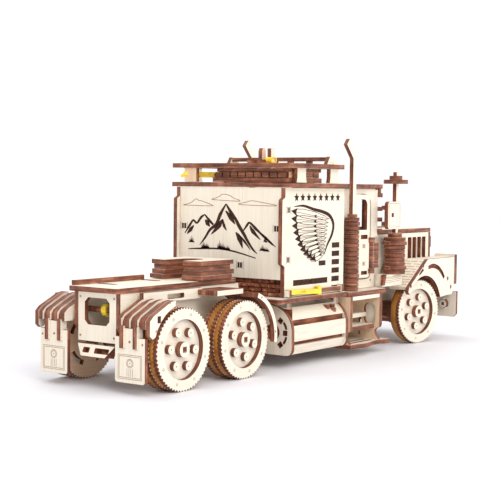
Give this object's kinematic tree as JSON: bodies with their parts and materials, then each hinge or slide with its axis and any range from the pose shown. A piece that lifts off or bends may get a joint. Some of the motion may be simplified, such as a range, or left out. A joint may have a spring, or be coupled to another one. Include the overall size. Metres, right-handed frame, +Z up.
{
  "type": "wooden truck puzzle model",
  "caption": "Laser-cut plywood model of a long-nose sleeper tractor with rolling wheels, steering, opening doors and hood, and a rubber-band drive.",
  "frame": {"origin": "centre of the bounding box on the ground plane, under the middle of the truck", "axes": "+X towards the truck's nose, +Y to its left, +Z up"},
  "size_m": [0.4278, 0.118, 0.1754],
  "materials": {
    "pale_plywood": "raw sanded birch plywood",
    "warm_plywood": "raw birch plywood, edges toasted by the laser",
    "burnt_plywood": "laser-burnt plywood edges and engraving",
    "yellow_rubber": "smooth yellow rubber band",
    "amber_rubber": "amber rubber bands round the wheels"
  },
  "bodies": {
    "chassis": {"air_cleaner_left": "burnt_plywood", "air_cleaner_right": "burnt_plywood", "band_peg": "warm_plywood", "bumper": "pale_plywood", "cab_board": "warm_plywood", "cab_roof": "warm_plywood", "cab_side_left": "pale_plywood", "cab_side_right": "pale_plywood", "cowl_box_left": "pale_plywood", "cowl_box_right": "pale_plywood", "engine_block": "warm_plywood", "exhaust_left": "burnt_plywood", "exhaust_right": "burnt_plywood", "fifth_wheel": "burnt_plywood", "frame_rail_left": "pale_plywood", "frame_rail_right": "pale_plywood", "front_beam": "warm_plywood", "front_fender_left": "pale_plywood", "front_fender_right": "pale_plywood", "fuel_tank_left": "pale_plywood", "fuel_tank_right": "pale_plywood", "grille": "pale_plywood", "hood_side_left": "pale_plywood", "hood_side_right": "pale_plywood", "mid_fender_left": "pale_plywood", "mid_fender_right": "pale_plywood", "motor_band": "yellow_rubber", "mudflap_left": "pale_plywood", "mudflap_right": "pale_plywood", "platform_board": "warm_plywood", "rear_deck": "pale_plywood", "rear_fender_left": "warm_plywood", "rear_fender_right": "warm_plywood", "rear_panel": "pale_plywood", "roof_rack": "warm_plywood", "roof_spoiler": "pale_plywood", "sleeper_base": "burnt_plywood", "sleeper_rear_panel": "pale_plywood", "sleeper_roof": "warm_plywood", "sleeper_side_left": "pale_plywood", "sleeper_side_right": "pale_plywood", "step_box_left": "warm_plywood", "step_box_right": "warm_plywood", "windshield_frame": "pale_plywood"},
    "rear_axle": {"rear_axle": "warm_plywood", "rear_wheel_left": "warm_plywood", "rear_wheel_right": "warm_plywood"},
    "mid_axle": {"mid_axle": "warm_plywood", "mid_wheel_left": "warm_plywood", "mid_wheel_right": "warm_plywood"},
    "motor_drum": {"motor_drum": "warm_plywood"},
    "left_knuckle": {"knuckle_left": "warm_plywood"},
    "right_knuckle": {"knuckle_right": "warm_plywood"},
    "left_front_wheel": {"front_wheel_left": "warm_plywood"},
    "right_front_wheel": {"front_wheel_right": "warm_plywood"},
    "tie_rod": {"tie_rod": "warm_plywood"},
    "left_door": {"door_left": "pale_plywood"},
    "right_door": {"door_right": "pale_plywood"},
    "hood_lid": {"hood_lid": "pale_plywood"},
    "release_lever": {"release_lever": "burnt_plywood"}
  },
  "joints": [
    {"name": "rear_axle_spin", "type": "hinge", "parent": "chassis", "child": "rear_axle", "pos_m": [-0.17945, 0, 0.028], "axis": [0, 1, 0], "continuous": true},
    {"name": "mid_axle_spin", "type": "hinge", "parent": "chassis", "child": "mid_axle", "pos_m": [-0.11145, 0, 0.028], "axis": [0, 1, 0], "continuous": true},
    {"name": "motor_drum_spin", "type": "hinge", "parent": "chassis", "child": "motor_drum", "pos_m": [-0.1437, 0, 0.044], "axis": [0, 1, 0], "continuous": true},
    {"name": "steer_left", "type": "hinge", "parent": "chassis", "child": "left_knuckle", "pos_m": [0.14855, 0.037, 0.028], "axis": [0, 0, 1], "range_deg": [-5.7, 26.3]},
    {"name": "steer_right", "type": "hinge", "parent": "chassis", "child": "right_knuckle", "pos_m": [0.14855, -0.037, 0.028], "axis": [0, 0, 1], "range_deg": [-5.8, 26.4]},
    {"name": "tie_rod_slide", "type": "slide", "parent": "chassis", "child": "tie_rod", "axis": [0, 1, 0], "range_m": [-0.0083, 0.0019]},
    {"name": "left_front_wheel_spin", "type": "hinge", "parent": "left_knuckle", "child": "left_front_wheel", "pos_m": [0.14855, 0.037, 0.028], "axis": [0.1788, 0.9839, 0], "continuous": true},
    {"name": "right_front_wheel_spin", "type": "hinge", "parent": "right_knuckle", "child": "right_front_wheel", "pos_m": [0.14855, -0.037, 0.028], "axis": [0.1788, 0.9839, 0], "continuous": true},
    {"name": "left_door_hinge", "type": "hinge", "parent": "chassis", "child": "left_door", "pos_m": [0.07105, 0.0475, 0.081], "axis": [0, 0, -1], "range_deg": [0, 70]},
    {"name": "right_door_hinge", "type": "hinge", "parent": "chassis", "child": "right_door", "pos_m": [0.07105, -0.0475, 0.081], "axis": [0, 0, 1], "range_deg": [0, 70]},
    {"name": "hood_lid_hinge", "type": "hinge", "parent": "chassis", "child": "hood_lid", "pos_m": [0.19725, 0, 0.097], "axis": [0, 1, 0], "range_deg": [0, 60]},
    {"name": "release_lever_pivot", "type": "hinge", "parent": "chassis", "child": "release_lever", "pos_m": [-0.02945, 0, 0.1455], "axis": [0, 1, 0], "range_deg": [-12, 12]}
  ],
  "couplings": [
    {"joint": "motor_drum_spin", "follows": "mid_axle_spin", "ratio": -1.25},
    {"joint": "steer_right", "follows": "steer_left", "ratio": 1},
    {"joint": "tie_rod_slide", "follows": "steer_left", "m_per_rad": -0.01777}
  ]
}
